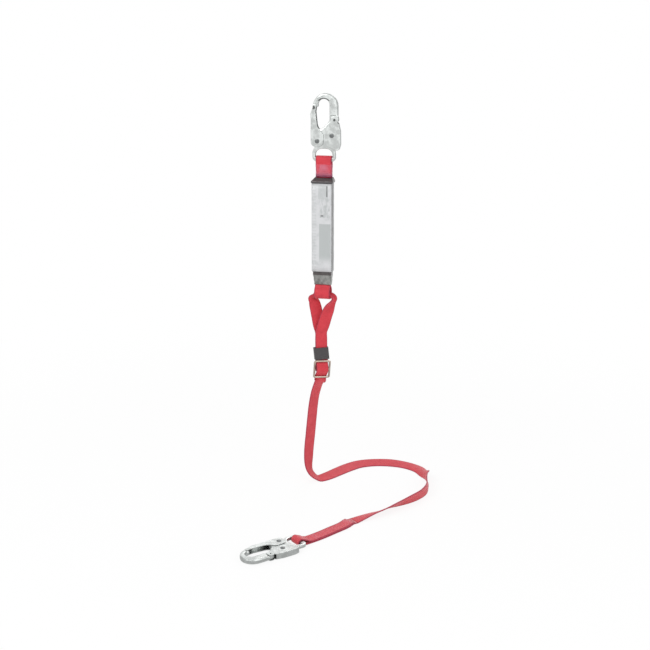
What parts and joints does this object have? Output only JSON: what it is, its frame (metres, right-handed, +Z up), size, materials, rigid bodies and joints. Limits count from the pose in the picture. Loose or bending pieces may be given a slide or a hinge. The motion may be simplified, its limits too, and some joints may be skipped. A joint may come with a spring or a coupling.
{
  "type": "adjustable shock-absorbing lanyard",
  "caption": "Adjustable web lanyard: locking snap hook, sleeved tear-webbing pack, strap looped through a slide adjuster with keeper, and a snap hook sewn to its far end.",
  "frame": {"origin": "the crown of the upper hook's bowl, where the hook bears on its anchor", "axes": "+Z up along the hanging line, +X to the upper hook's spine side, +Y from the label side of the pack to its back"},
  "size_m": [0.2982, 0.5506, 0.8133],
  "materials": {
    "zinc_steel": "zinc-plated forged and pressed steel, satin bright",
    "spring_steel": "drawn spring wire",
    "nickel_wire": "pale yellowish plating, bright",
    "red_webbing": "woven polyester webbing, bright red",
    "dark_binding": "dark grey heat-shrunk sleeve ends",
    "clear_vinyl": "grey semi-clear vinyl sleeve",
    "label_face": "silvery grey-green label sheet, plain",
    "black_plastic": "moulded charcoal rubbery plastic"
  },
  "bodies": {
    "upper_hook": {"upper_hook_frame": "zinc_steel", "upper_gate_rivet": "zinc_steel", "upper_lock_rivet": "zinc_steel"},
    "upper_gate": {"upper_gate": "zinc_steel", "upper_gate_spring": "spring_steel"},
    "upper_lock": {"upper_lock_lever": "zinc_steel", "upper_lock_spring": "spring_steel"},
    "pack": {"shackle_webbing": "red_webbing", "tear_webbing": "red_webbing", "pack_collar": "dark_binding", "pack_cover": "clear_vinyl", "pack_boot": "dark_binding", "label_sheet": "label_face", "pack_lower_loop": "red_webbing", "strap_loop": "red_webbing", "strap_fall": "red_webbing", "strap_run": "red_webbing", "strap_eye": "red_webbing"},
    "adjuster": {"adjuster": "nickel_wire", "strap_end": "red_webbing", "strap_weave": "red_webbing"},
    "keeper": {"keeper": "black_plastic"},
    "lower_hook": {"lower_hook_frame": "zinc_steel", "lower_gate_rivet": "zinc_steel", "lower_lock_rivet": "zinc_steel"},
    "lower_gate": {"lower_gate": "zinc_steel", "lower_gate_spring": "spring_steel"},
    "lower_lock": {"lower_lock_lever": "zinc_steel", "lower_lock_spring": "spring_steel"}
  },
  "joints": [
    {"name": "upper_gate_hinge", "type": "hinge", "parent": "upper_hook", "child": "upper_gate", "pos_m": [-0.0131, 0, -0.0817], "axis": [0, 1, 0], "range_deg": [0, 18], "stiffness_Nm_per_rad": 0.35, "springref_deg": -34.38},
    {"name": "upper_lock_hinge", "type": "hinge", "parent": "upper_hook", "child": "upper_lock", "pos_m": [0.0162, 0, -0.0704], "axis": [0, 1, 0], "range_deg": [0, 10], "stiffness_Nm_per_rad": 0.3, "springref_deg": -34.38},
    {"name": "upper_eye_swing", "type": "hinge", "parent": "upper_hook", "child": "pack", "pos_m": [0, 0, -0.118], "axis": [1, 0, 0], "range_deg": [-60, 60]},
    {"name": "adjuster_slide", "type": "slide", "parent": "pack", "child": "adjuster", "axis": [0, 0, 1], "range_m": [-0.05, 0.05], "deforming": ["strap_loop", "strap_fall"]},
    {"name": "keeper_slide", "type": "slide", "parent": "adjuster", "child": "keeper", "axis": [0, 0, 1], "range_m": [0, 0.03]},
    {"name": "lower_eye_swing", "type": "hinge", "parent": "pack", "child": "lower_hook", "pos_m": [0.01676, -0.30801, -0.79404], "axis": [0.7431, -0.6691, 0], "range_deg": [-80, 80]},
    {"name": "lower_gate_hinge", "type": "hinge", "parent": "lower_hook", "child": "lower_gate", "pos_m": [-0.01727, -0.32622, -0.79404], "axis": [0, 0, 1], "range_deg": [0, 18], "stiffness_Nm_per_rad": 0.35, "springref_deg": -34.38},
    {"name": "lower_lock_hinge", "type": "hinge", "parent": "lower_hook", "child": "lower_lock", "pos_m": [-0.00305, -0.35422, -0.79404], "axis": [0, 0, 1], "range_deg": [0, 10], "stiffness_Nm_per_rad": 0.3, "springref_deg": -34.38}
  ]
}
